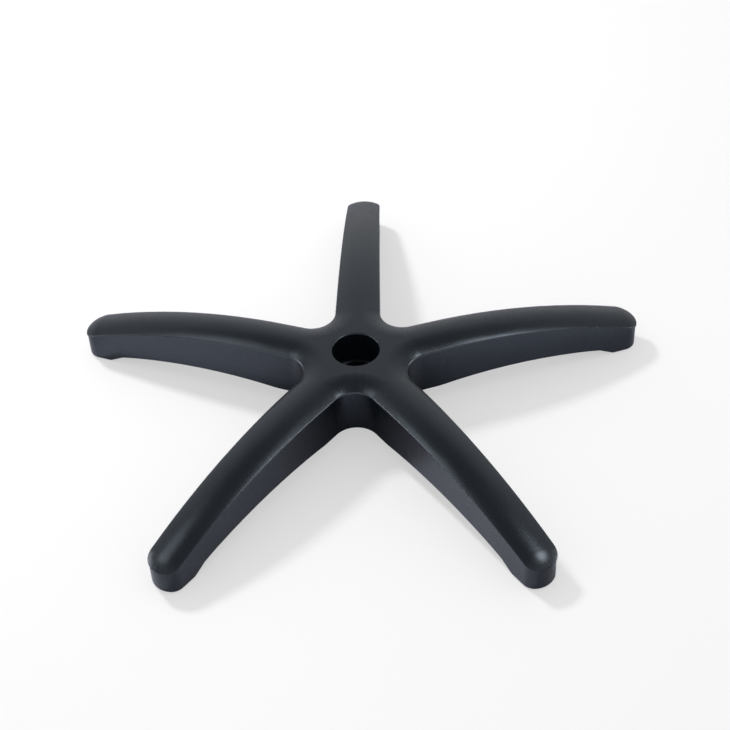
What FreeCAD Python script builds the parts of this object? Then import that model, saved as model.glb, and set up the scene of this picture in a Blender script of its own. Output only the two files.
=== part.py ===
import FreeCAD, Part
import math
import os

os.makedirs("parts", exist_ok=True)
V = FreeCAD.Vector

# Five-star chair base in millimetres. Z is the hub axis, z = 0 is the plane of the five caster feet,
# and one arm runs along +Y. One arm is built along +X as a 72 degree slice and then patterned.

# Star outline at the parting edge
arms = 5
overall_r = 320.0
arm_root_w = 51.6
arm_tip_w = 38.6
web_r = 24.5
nose_end_r = 23.0
nose_corner_r = 15.0

# Crown: level over the hub, then a ridge that droops along an arc; arched across with one radius
hub_z = 77.6
ridge_tip_z = 33.1
level_s = 88.0
arch_r = 43.0
nose_dome = 16.0

# Lower edge of the skirt: level round the hub, arched along the arm
under_hub_z = 18.9
under_top_z = 22.9
under_top_s = 153.0
under_r = 573.0

# Lip along the parting edge, standing proud of the skirt and dying away towards the tip
lip_root = 1.0
lip_tip = 0.8
lip_depth = 2.2

# Caster feet
foot_len = 40.0
foot_flat = 28.0
foot_ramp = 27.0
foot_top_z = 14.0
foot_round = 3.5
foot_lap = 1.0
caster_inset = 20.0
stem_d = 11.0
stem_depth = 25.0

# Gas-lift seat in the hub: a taper of about 1 in 20 on diameter, a ledge, then a straight throat
seat_mouth_d = 50.0
seat_depth = 37.0
seat_half_angle = 1.4377
ledge = 2.0
rim_lead = 1.0

# Moulding thicknesses
wall = 4.0
ceiling = 0.5
hub_wall = 6.5
rib = 3.0
lattice_cells = 3

# Derived sizes
pitch = 360.0 / arms
half_pitch = math.radians(pitch / 2)
nose_s = overall_r - nose_end_r
ridge_drop = hub_z - ridge_tip_z
seat_r = seat_mouth_d / 2 - seat_depth * math.tan(math.radians(seat_half_angle))
throat_r = seat_r - ledge
tube_r = seat_mouth_d / 2 + hub_wall
foot_s = overall_r - foot_len
caster_r = overall_r - caster_inset
beyond = overall_r + 12.0
above = hub_z + 60.0
below = -20.0


class Outline:
    """Plan of one arm, inset from the parting edge: web arcs, straight sides, corner arcs and end arc."""

    def __init__(self, inset_root, inset_tip):
        self.w0 = arm_root_w / 2 - inset_root
        self.taper = (self.w0 - arm_tip_w / 2 + inset_tip) / nose_s
        lean = math.atan(self.taper)
        self.nx = math.sin(lean)
        self.ny = math.cos(lean)
        self.web_r = web_r + inset_root
        centre = (self.web_r + self.w0 * self.ny) / math.sin(half_pitch + lean)
        self.web_x = centre * math.cos(half_pitch)
        self.web_y = centre * math.sin(half_pitch)
        self.apex_x = (centre - self.web_r) * math.cos(half_pitch)
        self.apex_y = (centre - self.web_r) * math.sin(half_pitch)
        self.root_x = self.web_x - self.web_r * self.nx
        self.root_y = self.web_y - self.web_r * self.ny
        self.corner_r = nose_corner_r - inset_tip
        self.end_r = nose_end_r - inset_tip
        # corner centre: inside the side line by the corner radius, and inside the end arc by it too
        a = 1 + self.taper ** 2
        b = self.width(nose_s) - self.corner_r / self.ny
        reach = (self.taper * b + math.sqrt(a * (self.end_r - self.corner_r) ** 2 - b ** 2)) / a
        self.knee_x = nose_s + reach
        self.knee_y = b - self.taper * reach

    def width(self, s):
        return self.w0 - self.taper * s

    def on_arc(self, cx, cy, r, p, q):
        """Point of the circle about (cx, cy) half way between its points p and q."""
        mx = (p[0] + q[0]) / 2 - cx
        my = (p[1] + q[1]) / 2 - cy
        k = r / math.hypot(mx, my)
        return (cx + k * mx, cy + k * my)

    def points(self):
        apex = (self.apex_x, self.apex_y)
        root = (self.root_x, self.root_y)
        side = (self.knee_x + self.corner_r * self.nx, self.knee_y + self.corner_r * self.ny)
        k = self.end_r / (self.end_r - self.corner_r)
        end = (nose_s + k * (self.knee_x - nose_s), k * self.knee_y)
        web = self.on_arc(self.web_x, self.web_y, self.web_r, apex, root)
        knee = self.on_arc(self.knee_x, self.knee_y, self.corner_r, side, end)
        return [apex, web, root, side, knee, end]

    def slice_face(self):
        """Plan of one slice, closed to the hub axis along both bisectors."""
        p = [V(x, y, 0) for x, y in self.points()]
        m = [V(x, -y, 0) for x, y in self.points()]
        path = [
            Part.Arc(m[0], m[1], m[2]).toShape(),
            Part.makeLine(m[2], m[3]),
            Part.Arc(m[3], m[4], m[5]).toShape(),
            Part.Arc(m[5], V(nose_s + self.end_r, 0, 0), p[5]).toShape(),
            Part.Arc(p[5], p[4], p[3]).toShape(),
            Part.makeLine(p[3], p[2]),
            Part.Arc(p[2], p[1], p[0]).toShape(),
            Part.makeLine(p[0], V(0, 0, 0)),
            Part.makeLine(V(0, 0, 0), m[0]),
        ]
        return Part.Face(Part.Wire(path))


def prism(face, z0, z1):
    low = face.copy()
    low.translate(V(0, 0, z0))
    return low.extrude(V(0, 0, z1 - z0))


def droop(s, drop):
    """Fall at s of an arc that leaves the level at level_s and has fallen by drop at overall_r."""
    if s <= level_s:
        return 0.0
    run = overall_r - level_s
    big = (run ** 2 + drop ** 2) / (2 * drop)
    return big - math.sqrt(big ** 2 - (s - level_s) ** 2)


def bow(z_hub, drop):
    """Side-view line from behind the hub axis to past the tip: level, then the drooping arc."""
    mid = (level_s + beyond) / 2
    start = V(level_s, 0, z_hub)
    half = V(mid, 0, z_hub - droop(mid, drop))
    end = V(beyond, 0, z_hub - droop(beyond, drop))
    return [Part.makeLine(V(below, 0, z_hub), start), Part.Arc(start, half, end).toShape()]


def between(top, bottom):
    """Slab between two side-view lines, across the whole width of a slice."""
    rise = Part.makeLine(bottom[0].Vertexes[0].Point, top[0].Vertexes[0].Point)
    fall = Part.makeLine(top[-1].Vertexes[-1].Point, bottom[-1].Vertexes[-1].Point)
    path = Part.Wire(Part.__sortEdges__([rise, fall] + top + bottom))
    side = Part.Face(path)
    side.translate(V(0, -overall_r / 2, 0))
    return side.extrude(V(0, overall_r, 0))


def arch(y):
    """Fall of the crown at y to one side of its ridge."""
    return arch_r - math.sqrt(arch_r ** 2 - y ** 2)


plan = Outline(0.0, 0.0)
skirt_plan = Outline(lip_root, lip_tip)
inner_plan = Outline(lip_root + wall, lip_tip + wall)

# Centre line of the crown's bend, the middle of the nose dome on it, and the parting edge they give
ridge_r = ((overall_r - level_s) ** 2 + ridge_drop ** 2) / (2 * ridge_drop)
bend = math.asin((overall_r - nose_dome - level_s) / ridge_r)
pivot = V(level_s, 0, hub_z - ridge_r)
dome_mid = pivot + V(math.sin(bend), 0, math.cos(bend)) * (ridge_r - arch_r)
edge_hub_z = hub_z - arch(plan.web_y - plan.web_r)
edge_tip_z = dome_mid.z + arch_r - arch(overall_r - dome_mid.x)
edge_drop = edge_hub_z - edge_tip_z


def under_crown():
    """Everything under the crown of one arm: hub plateau with its web hollows, level rod, bent rod and dome."""
    behind = Part.makeBox(plan.web_x - below, overall_r, hub_z - below, V(below, -overall_r / 2, below))
    deep = plan.web_r - lip_depth
    inner = V(deep, 0, hub_z - arch(plan.web_y - deep))
    crest = V(plan.web_y, 0, hub_z)
    mid = (deep + plan.web_y) / 2
    flank = Part.Arc(inner, V(mid, 0, hub_z - arch(plan.web_y - mid)), crest).toShape()
    corner = [V(plan.web_y, 0, above), V(deep, 0, above)]
    shut = [Part.makeLine(crest, corner[0]), Part.makeLine(*corner), Part.makeLine(corner[1], inner)]
    hollow = Part.Face(Part.Wire([flank] + shut)).revolve(V(0, 0, 0), V(0, 0, 1), 360)
    hollows = []
    for side in (-1, 1):
        one = hollow.copy()
        one.translate(V(plan.web_x, side * plan.web_y, 0))
        hollows.append(one)
    hub = behind.cut(hollows)
    axis_z = hub_z - arch_r
    rod = Part.makeCylinder(arch_r, level_s - plan.web_x, V(plan.web_x, 0, axis_z), V(1, 0, 0))
    disc = Part.Face(Part.Wire(Part.makeCircle(arch_r, V(level_s, 0, axis_z), V(1, 0, 0))))
    bent = disc.revolve(pivot, V(0, 1, 0), math.degrees(bend))
    dome = Part.makeSphere(arch_r, dome_mid)
    return hub, rod, bent, dome


def bar(ax, ay, bx, by, thick):
    """Upright rib of the given thickness along the line from (ax, ay) to (bx, by)."""
    length = math.hypot(bx - ax, by - ay)
    box = Part.makeBox(length, thick, above - below, V(0, -thick / 2, below))
    box.rotate(V(0, 0, 0), V(0, 0, 1), math.degrees(math.atan2(by - ay, bx - ax)))
    box.translate(V(ax, ay, 0))
    return box


# Crown: the arched top, with the lip below its edge
roof_line = [Part.makeLine(V(below, 0, above), V(beyond, 0, above))]
cap = prism(plan.slice_face(), below, above)
cap = cap.common(between(roof_line, bow(edge_hub_z - lip_depth, edge_drop)))
parts = [cap.common(one) for one in under_crown()]
crown = parts[0].fuse(parts[1:]).removeSplitter()

# Skirt: upright sides between the lip and the lower edge, which is level round the hub and then arched
rise = under_top_z - under_hub_z
start = V(under_top_s - math.sqrt(rise * (2 * under_r - rise)), 0, under_hub_z)
run = beyond - under_top_s
end = V(beyond, 0, under_top_z - under_r + math.sqrt(under_r ** 2 - run ** 2))
arched = Part.Arc(start, V(under_top_s, 0, under_top_z), end).toShape()
under_line = [Part.makeLine(V(below, 0, under_hub_z), start), arched]
skirt = between(bow(edge_hub_z - lip_depth / 2, edge_drop), under_line)
skirt = skirt.common(prism(skirt_plan.slice_face(), foot_round + foot_lap, above))

# Caster foot: a pad under the tip, reached by a short ramp and rounded under
flat_s = overall_r - foot_flat
ramp = [
    V(flat_s - foot_ramp, 0, foot_top_z),
    V(flat_s, 0, 0),
    V(beyond, 0, 0),
    V(beyond, 0, foot_top_z),
]
foot = Part.Face(Part.makePolygon(ramp + ramp[:1]))
foot.translate(V(0, -overall_r / 2, 0))
foot = foot.extrude(V(0, overall_r, 0)).common(prism(skirt_plan.slice_face(), below, above)).Solids[0]
sole = [e for e in foot.Edges if e.BoundBox.ZMax < 1e-6 and e.BoundBox.XMax > flat_s + 1e-3]
foot = foot.makeFillet(foot_round, sole)

arm = crown.fuse([skirt, foot]).removeSplitter()

# Open underside: pockets between a centre rib, crossed ribs, the hub tube and ribs on the bisectors
floor_line = [Part.makeLine(V(below, 0, below), V(beyond, 0, below))]
cavity = between(bow(edge_hub_z - ceiling, edge_drop), floor_line)
cavity = cavity.common(prism(inner_plan.slice_face(), below, above))
ribs = [
    Part.makeCylinder(tube_r, above - below, V(0, 0, below)),
    Part.makeBox(overall_r, overall_r, above - below, V(foot_s, -overall_r / 2, below)),
    bar(0, 0, foot_s, 0, rib),
    bar(plan.root_x, -plan.web_y, plan.root_x, plan.web_y, rib),
    bar(0, 0, plan.apex_x, plan.apex_y, rib),
    bar(0, 0, plan.apex_x, -plan.apex_y, rib),
]
cell = (foot_s - plan.root_x) / lattice_cells
for i in range(lattice_cells):
    s = plan.root_x + i * cell
    ribs.append(bar(s, -plan.width(s), s + cell, plan.width(s + cell), rib))
    ribs.append(bar(s, plan.width(s), s + cell, -plan.width(s + cell), rib))
pockets = cavity.cut(ribs)
arm = arm.cut(pockets.Solids)

# Socket for the caster stem, blind, from the sole
socket = Part.makeCylinder(stem_d / 2, stem_depth, V(caster_r, 0, 0))
arm = arm.cut(socket)
arm = arm.cut(Part.makeCylinder(throat_r / 2, above - below, V(0, 0, below)))

# Five arms meet on the planes half way between them
copies = []
for i in range(arms):
    one = arm.copy()
    one.rotate(V(0, 0, 0), V(0, 0, 1), 90 + i * pitch)
    copies.append(one)
base = copies[0].fuse(copies[1:]).removeSplitter()

# Gas-lift seat with its lead-in, ledge and throat
rim_r = seat_mouth_d / 2 + rim_lead
ledge_z = hub_z - seat_depth
path = [
    V(0, 0, below),
    V(throat_r, 0, below),
    V(throat_r, 0, ledge_z),
    V(seat_r, 0, ledge_z),
    V(seat_mouth_d / 2, 0, hub_z - rim_lead),
    V(rim_r + rim_lead, 0, hub_z + rim_lead),
    V(0, 0, hub_z + rim_lead),
    V(0, 0, below),
]
seat = Part.Face(Part.makePolygon(path)).revolve(V(0, 0, 0), V(0, 0, 1), 360)
base = base.cut(seat).Solids[0]

base.exportStep("parts/star_base.step")
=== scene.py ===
import math

import bmesh
import bpy
from mathutils import Matrix, Vector


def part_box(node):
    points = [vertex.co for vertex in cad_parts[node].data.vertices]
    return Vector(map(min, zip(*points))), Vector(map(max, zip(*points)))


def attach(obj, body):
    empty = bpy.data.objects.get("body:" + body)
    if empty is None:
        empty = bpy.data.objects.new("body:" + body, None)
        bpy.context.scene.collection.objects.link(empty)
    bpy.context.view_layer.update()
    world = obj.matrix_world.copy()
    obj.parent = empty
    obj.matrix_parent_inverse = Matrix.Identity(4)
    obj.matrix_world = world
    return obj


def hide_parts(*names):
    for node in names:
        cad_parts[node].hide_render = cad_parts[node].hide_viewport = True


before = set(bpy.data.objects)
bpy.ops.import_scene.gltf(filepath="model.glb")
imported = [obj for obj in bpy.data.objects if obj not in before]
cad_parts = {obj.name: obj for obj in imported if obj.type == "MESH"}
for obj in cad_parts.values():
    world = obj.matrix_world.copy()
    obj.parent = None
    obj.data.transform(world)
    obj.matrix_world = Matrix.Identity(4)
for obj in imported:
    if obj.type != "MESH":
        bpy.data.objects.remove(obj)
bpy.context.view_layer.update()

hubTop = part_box("star_base")[1].z
print("frame loaded, hub top at", round(hubTop, 4), "m")


def deselectAll():
    if bpy.context.mode != "OBJECT":
        bpy.ops.object.mode_set(mode="OBJECT")
    bpy.ops.object.select_all(action="DESELECT")


def makeActive(piece):
    deselectAll()
    piece.select_set(True)
    bpy.context.view_layer.objects.active = piece


# camera, set from the outline of the arms in the photograph
camera = {
    "turn": math.radians(3.70),       # right of the front gap, seen from above
    "rise": math.radians(42.16),      # above the floor
    "distance": 1.704,                # from the middle of the hub's top
    "lens": 80.1,
    "sensor": 36,
    "farthest": 50,
    "aimAside": 0.0087,               # the picture's middle, right of the hub
    "aimBelow": 0.0171,               # and below it
    "roll": math.radians(-3.08),
}


def addCamera(c):
    hub = Vector((0, 0, hubTop))
    flat = Vector((math.sin(c["turn"]), -math.cos(c["turn"]), 0))
    back = flat * math.cos(c["rise"]) + Vector((0, 0, math.sin(c["rise"])))
    right = Vector((math.cos(c["turn"]), math.sin(c["turn"]), 0))
    up = back.cross(right)
    place = hub + back * c["distance"]
    aim = hub + right * c["aimAside"] - up * c["aimBelow"]
    data = bpy.data.cameras.new("photoCamera")
    data.lens = c["lens"]
    data.sensor_width = c["sensor"]
    data.clip_end = c["farthest"]
    eye = bpy.data.objects.new("photoCamera", data)
    bpy.context.collection.objects.link(eye)
    turned = (aim - place).to_track_quat("-Z", "Y").to_matrix().to_4x4()
    eye.matrix_world = Matrix.Translation(place) @ turned @ Matrix.Rotation(c["roll"], 4, "Z")
    bpy.context.scene.camera = eye


addCamera(camera)
print("camera placed")

# black glass-filled nylon, with the fine grain of a spark-eroded mould
nylon = {
    "colour": (0.0024, 0.0037, 0.0058),
    "paler": (0.0034, 0.0051, 0.0080),
    "tintRange": (0.35, 0.70),        # clouds from the one colour to the other
    "roughness": (0.24, 0.33),
    "roughRange": (0.35, 1.15),       # grain and clouds together, from smooth to rough
    "cloudShare": 0.5,                # of the clouds in the roughness
    "gloss": 0.65,                    # specular level
    "sheenTint": (0.76, 0.87, 1.0),
    "paintedBeadShine": (0.036, 0.040, 0.047),  # painted highlight along the bead, much paler than the nylon
    "grainScale": 1400,
    "grainDetail": 3,
    "cloudScale": 16,
    "cloudDetail": 4,
    "bump": 0.12,
    "bumpDepth": 0.0002,
}


def makeNylon(n):
    mat = bpy.data.materials.new("blackNylon")
    mat.use_nodes = True
    tree = mat.node_tree
    shader = tree.nodes["Principled BSDF"]
    shader.inputs["Specular IOR Level"].default_value = n["gloss"]
    shader.inputs["Specular Tint"].default_value = (*n["sheenTint"], 1)
    coords = tree.nodes.new("ShaderNodeTexCoord")
    cloud = tree.nodes.new("ShaderNodeTexNoise")
    cloud.inputs["Scale"].default_value = n["cloudScale"]
    cloud.inputs["Detail"].default_value = n["cloudDetail"]
    grain = tree.nodes.new("ShaderNodeTexNoise")
    grain.inputs["Scale"].default_value = n["grainScale"]
    grain.inputs["Detail"].default_value = n["grainDetail"]
    tint = tree.nodes.new("ShaderNodeValToRGB")
    for stop, at, colour in zip(tint.color_ramp.elements, n["tintRange"], (n["colour"], n["paler"])):
        stop.position = at
        stop.color = (*colour, 1)
    # painted highlight: faces marked on the bead are mixed towards a paler colour, standing in for the
    # line of light along the crown's edge
    bead = tree.nodes.new("ShaderNodeAttribute")
    bead.attribute_name = "bead"
    beadShineMix = tree.nodes.new("ShaderNodeMixRGB")
    beadShineMix.inputs["Color2"].default_value = (*n["paintedBeadShine"], 1)
    patches = tree.nodes.new("ShaderNodeMath")
    patches.operation = "MULTIPLY_ADD"
    patches.inputs[1].default_value = n["cloudShare"]
    rough = tree.nodes.new("ShaderNodeMapRange")
    rough.inputs["From Min"].default_value, rough.inputs["From Max"].default_value = n["roughRange"]
    rough.inputs["To Min"].default_value, rough.inputs["To Max"].default_value = n["roughness"]
    bump = tree.nodes.new("ShaderNodeBump")
    bump.inputs["Strength"].default_value = n["bump"]
    bump.inputs["Distance"].default_value = n["bumpDepth"]
    link = tree.links.new
    link(coords.outputs["Object"], cloud.inputs["Vector"])
    link(coords.outputs["Object"], grain.inputs["Vector"])
    link(cloud.outputs["Fac"], tint.inputs["Fac"])
    link(bead.outputs["Fac"], beadShineMix.inputs["Fac"])
    link(tint.outputs["Color"], beadShineMix.inputs["Color1"])
    link(beadShineMix.outputs["Color"], shader.inputs["Base Color"])
    link(cloud.outputs["Fac"], patches.inputs[0])
    link(grain.outputs["Fac"], patches.inputs[2])
    link(patches.outputs["Value"], rough.inputs["Value"])
    link(rough.outputs["Result"], shader.inputs["Roughness"])
    link(grain.outputs["Fac"], bump.inputs["Height"])
    link(bump.outputs["Normal"], shader.inputs["Normal"])
    return mat


blackNylon = makeNylon(nylon)

# the moulding as it shows: the solid's own surface, joined up, with its moulded edges rounded.
# the crown's edge is a bead that is full near the hub and thins out along the arm
moulding = {
    "merge": 1e-6,
    "flat": math.radians(0.6),        # neighbours closer to level than this become one face
    "sharpAngle": math.radians(28),
    "crownSlope": (0.5, 0.9995),      # upward part of the crown's normals; the level hub has more
    "wallSlope": 0.2,                 # and the most that an upright wall has
    "beadRound": 0.0014,
    "beadFade": (0.06, 0.32),         # distances from the hub where the bead starts to thin and ends
    "beadClear": 0.003,               # room that the bead needs on the crown
    "beadSlope": (0.08, 0.76),        # upward part of the normals found on the bead alone
    "beadShineFade": (0.13, 0.27),          # distances from the hub where the painted highlight on the bead starts to fade and ends
    "edgeShare": 0.36,                # other edges, as a share of the bead
    "hubHole": 0.030,                 # the seat's rim lies inside this
    "soleTop": 0.0050,                # the soles below this are round already
    "steps": 4,
    "smoothAngle": math.radians(30),
}


def fadeOut(reach, span):
    start, end = span
    return min(max((end - reach) / (end - start), 0), 1)


def edgeReach(edge):
    mid = (edge.verts[0].co + edge.verts[1].co) / 2
    return math.hypot(mid.x, mid.y)


def onCrownEdge(edge, m):
    lower, upper = sorted(face.normal.z for face in edge.link_faces)
    crownMeetsWall = upper > m["crownSlope"][0] and abs(lower) < m["wallSlope"]
    return crownMeetsWall and edgeReach(edge) > m["hubHole"]


def edgeWeight(edge, m):
    if not onCrownEdge(edge, m):
        return m["edgeShare"]
    return m["edgeShare"] + (1 - m["edgeShare"]) * fadeOut(edgeReach(edge), m["beadFade"])


def clearCrownEdge(mesh, m):
    # points of the crown too close to its edge would be run over by the bead
    cage = bmesh.from_edit_mesh(mesh)
    sharp = [edge for edge in cage.edges if edge.select]
    taken = {corner for edge in sharp for corner in edge.verts}
    crownEdge = {corner for edge in sharp if onCrownEdge(edge, m) for corner in edge.verts}
    near = {
        edge.other_vert(corner)
        for corner in crownEdge for edge in corner.link_edges
        if edge.calc_length() < m["beadClear"]
    }
    bpy.ops.mesh.select_all(action="DESELECT")
    bpy.ops.mesh.select_mode(type="VERT")
    for corner in near - taken:
        corner.select = True
    bmesh.update_edit_mesh(mesh)
    bpy.ops.mesh.dissolve_verts()
    bpy.ops.mesh.select_all(action="DESELECT")


def splitCrown(mesh, m):
    # the crown is curved, so its larger faces are split before the bead is made on them
    least, most = m["crownSlope"]
    bpy.ops.mesh.select_mode(type="FACE")
    cage = bmesh.from_edit_mesh(mesh)
    for face in cage.faces:
        face.select_set(len(face.verts) > 3 and least < face.normal.z < most)
    bmesh.update_edit_mesh(mesh)
    bpy.ops.mesh.quads_convert_to_tris(quad_method="BEAUTY", ngon_method="BEAUTY")
    bpy.ops.mesh.select_all(action="DESELECT")


def selectSharp(m):
    bpy.ops.mesh.select_mode(type="EDGE")
    bpy.ops.mesh.edges_select_sharp(sharpness=m["sharpAngle"])


# share of painted highlight on a face of the bead: full near the hub, fading out along the arm
def beadShineShare(face, m):
    reach = math.hypot(face.center.x, face.center.y)
    least, most = m["beadSlope"]
    if reach < m["hubHole"] or not least < face.normal.z < most:
        return 0
    return fadeOut(reach, m["beadShineFade"])


def makeMoulding(m):
    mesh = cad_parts["star_base"].data.copy()
    piece = bpy.data.objects.new("baseMoulding", mesh)
    bpy.context.collection.objects.link(piece)
    makeActive(piece)
    bpy.ops.object.mode_set(mode="EDIT")
    bpy.ops.mesh.select_all(action="SELECT")
    bpy.ops.mesh.remove_doubles(threshold=m["merge"])
    bpy.ops.mesh.dissolve_limited(angle_limit=m["flat"])
    bpy.ops.mesh.select_all(action="DESELECT")
    selectSharp(m)
    clearCrownEdge(mesh, m)
    splitCrown(mesh, m)
    selectSharp(m)
    cage = bmesh.from_edit_mesh(mesh)
    weight = cage.edges.layers.float.new("bevel_weight_edge")
    for edge in cage.edges:
        if edge.select and edge.is_convex and min(end.co.z for end in edge.verts) > m["soleTop"]:
            edge[weight] = edgeWeight(edge, m)
    bmesh.update_edit_mesh(mesh)
    bpy.ops.object.mode_set(mode="OBJECT")
    rounding = piece.modifiers.new("edgeRound", "BEVEL")
    rounding.limit_method = "WEIGHT"
    rounding.width = m["beadRound"]
    rounding.segments = m["steps"]
    rounding.use_clamp_overlap = False
    bpy.ops.object.modifier_apply(modifier=rounding.name)
    # each face on the bead gets its share of the painted highlight
    paintedBeadShine = piece.data.attributes.new("bead", "FLOAT", "FACE")
    for face in piece.data.polygons:
        paintedBeadShine.data[face.index].value = beadShineShare(face, m)
    bpy.ops.object.shade_smooth_by_angle(angle=m["smoothAngle"])
    even = piece.modifiers.new("evenShade", "WEIGHTED_NORMAL")
    even.keep_sharp = True
    bpy.ops.object.modifier_apply(modifier=even.name)
    piece.data.materials.clear()
    piece.data.materials.append(blackNylon)
    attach(piece, "root")
    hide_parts("star_base")
    return piece


baseMoulding = makeMoulding(moulding)
print("moulding dressed,", len(baseMoulding.data.polygons), "faces")

# pale floor and soft studio light: bright at the horizon, dimmer overhead. a soft key behind on the left
# gives the floor its shadow, softboxes above shine on the tips, and cards at the sides on the bead
studio = {
    "floorSize": 60,
    "floorColour": (0.90, 0.895, 0.905),
    "floorRough": 0.9,
    "floorGloss": 0.1,
    "floorLift": 0.50,                # share of plain white in the floor as the camera sees it
    "mirrorTint": (0.88, 0.885, 1.0),                 # the floor as the nylon mirrors it,
    "mirrorShare": (0.08, 0.90, 1.00, 0.95, 0.48),    # by these shares, painted shade: darkest near the hub, dimmer again beyond the tips
    "mirrorReach": (0.05, 0.14, 0.22, 0.30, 0.36),    # at these distances from the hub axis
    "skyHeights": (0.0, 0.67, 0.92),  # sine of the height above the horizon
    "skyGloss": (0.78, 0.71, 0.22),   # as the nylon mirrors it
    "skySides": 0.55,                 # how much dimmer it mirrors to the left and right
    "skyFill": 0.66,                  # as it lights the floor
}
lamps = {
    "softKey": {"place": (-1.25, 1.15, 1.9), "size": (0.45, 0.45), "power": 39, "lights": "floor"},
    "softboxRight": {"place": (1.14, -0.34, 1.60), "size": (0.8, 0.8), "power": 11.5, "lights": "nylon"},
    "softboxLeft": {"place": (-1.21, -0.16, 1.58), "size": (1.0, 1.0), "power": 5, "lights": "nylon"},
    "cardRight": {"place": (1.95, 0.0, 0.36), "size": (1.8, 0.40), "power": 14, "lights": "nylon"},
    "cardLeft": {"place": (-1.95, 0.0, 0.36), "size": (1.8, 0.40), "power": 14, "lights": "nylon"},
}


def addSoftLamp(name, lampSizes):
    data = bpy.data.lights.new(name, "AREA")
    data.energy = lampSizes["power"]
    data.shape = "ELLIPSE"
    data.size, data.size_y = lampSizes["size"]
    lamp = bpy.data.objects.new(name, data)
    bpy.context.collection.objects.link(lamp)
    lamp.location = lampSizes["place"]
    lamp.rotation_euler = (-Vector(lampSizes["place"])).to_track_quat("-Z", "Y").to_euler()
    lamp.visible_glossy = lampSizes["lights"] == "nylon"
    lamp.visible_diffuse = lampSizes["lights"] == "floor"


def addFloor(s):
    deselectAll()
    bpy.ops.mesh.primitive_plane_add(size=s["floorSize"], location=(0, 0, 0))
    floor = bpy.context.object
    floor.name = "studioFloor"
    mat = bpy.data.materials.new("paleFloor")
    mat.use_nodes = True
    tree = mat.node_tree
    shader = tree.nodes["Principled BSDF"]
    shader.inputs["Roughness"].default_value = s["floorRough"]
    shader.inputs["Specular IOR Level"].default_value = s["floorGloss"]
    coords = tree.nodes.new("ShaderNodeTexCoord")
    # painted shade in the floor as the nylon mirrors it: darker near the hub axis and beyond the tips,
    # by distance
    reach = tree.nodes.new("ShaderNodeVectorMath")
    reach.operation = "LENGTH"
    ramp = tree.nodes.new("ShaderNodeValToRGB")
    for at in s["mirrorReach"][2:]:
        ramp.color_ramp.elements.new(at)
    for stop, at, share in zip(ramp.color_ramp.elements, s["mirrorReach"], s["mirrorShare"]):
        stop.position = at
        stop.color = (*(share * v for v in s["mirrorTint"]), 1)
    colour = tree.nodes.new("ShaderNodeMixRGB")
    colour.inputs["Color1"].default_value = (*s["floorColour"], 1)
    white = tree.nodes.new("ShaderNodeEmission")
    path = tree.nodes.new("ShaderNodeLightPath")
    lift = tree.nodes.new("ShaderNodeMath")
    lift.operation = "MULTIPLY"
    lift.inputs[1].default_value = s["floorLift"]
    mix = tree.nodes.new("ShaderNodeMixShader")
    link = tree.links.new
    link(coords.outputs["Object"], reach.inputs[0])
    link(reach.outputs["Value"], ramp.inputs["Fac"])
    link(path.outputs["Is Glossy Ray"], colour.inputs["Fac"])
    link(ramp.outputs["Color"], colour.inputs["Color2"])
    link(colour.outputs["Color"], shader.inputs["Base Color"])
    link(path.outputs["Is Camera Ray"], lift.inputs[0])
    link(lift.outputs["Value"], mix.inputs["Fac"])
    link(shader.outputs["BSDF"], mix.inputs[1])
    link(white.outputs["Emission"], mix.inputs[2])
    link(mix.outputs["Shader"], tree.nodes["Material Output"].inputs["Surface"])
    floor.data.materials.append(mat)


def addWorld(s):
    world = bpy.data.worlds.new("studioWorld")
    bpy.context.scene.world = world
    world.use_nodes = True
    tree = world.node_tree
    gloss = tree.nodes["Background"]
    fill = tree.nodes.new("ShaderNodeBackground")
    fill.inputs["Color"].default_value = (1, 1, 1, 1)
    fill.inputs["Strength"].default_value = s["skyFill"]
    white = tree.nodes.new("ShaderNodeBackground")
    white.inputs["Color"].default_value = (1, 1, 1, 1)
    white.inputs["Strength"].default_value = 1
    towards = tree.nodes.new("ShaderNodeTexCoord")
    heading = tree.nodes.new("ShaderNodeSeparateXYZ")
    ramp = tree.nodes.new("ShaderNodeValToRGB")
    ramp.color_ramp.elements.new(0.5)
    for stop, at, light in zip(ramp.color_ramp.elements, s["skyHeights"], s["skyGloss"]):
        stop.position = at
        stop.color = (light, light, light, 1)
    aside = tree.nodes.new("ShaderNodeMath")
    aside.operation = "MULTIPLY"
    dim = tree.nodes.new("ShaderNodeMath")
    dim.operation = "MULTIPLY_ADD"
    dim.inputs[1].default_value = -s["skySides"]
    dim.inputs[2].default_value = 1
    path = tree.nodes.new("ShaderNodeLightPath")
    lit = tree.nodes.new("ShaderNodeMixShader")
    seen = tree.nodes.new("ShaderNodeMixShader")
    link = tree.links.new
    link(towards.outputs["Generated"], heading.inputs["Vector"])
    link(heading.outputs["Z"], ramp.inputs["Fac"])
    link(ramp.outputs["Color"], gloss.inputs["Color"])
    link(heading.outputs["X"], aside.inputs[0])
    link(heading.outputs["X"], aside.inputs[1])
    link(aside.outputs["Value"], dim.inputs[0])
    link(dim.outputs["Value"], gloss.inputs["Strength"])
    link(path.outputs["Is Glossy Ray"], lit.inputs["Fac"])
    link(fill.outputs["Background"], lit.inputs[1])
    link(gloss.outputs["Background"], lit.inputs[2])
    link(path.outputs["Is Camera Ray"], seen.inputs["Fac"])
    link(lit.outputs["Shader"], seen.inputs[1])
    link(white.outputs["Background"], seen.inputs[2])
    link(seen.outputs["Shader"], tree.nodes["World Output"].inputs["Surface"])


addFloor(studio)
addWorld(studio)
for name, lampSizes in lamps.items():
    addSoftLamp(name, lampSizes)
print("floor and lights set")

bpy.context.scene.view_settings.view_transform = "Standard"
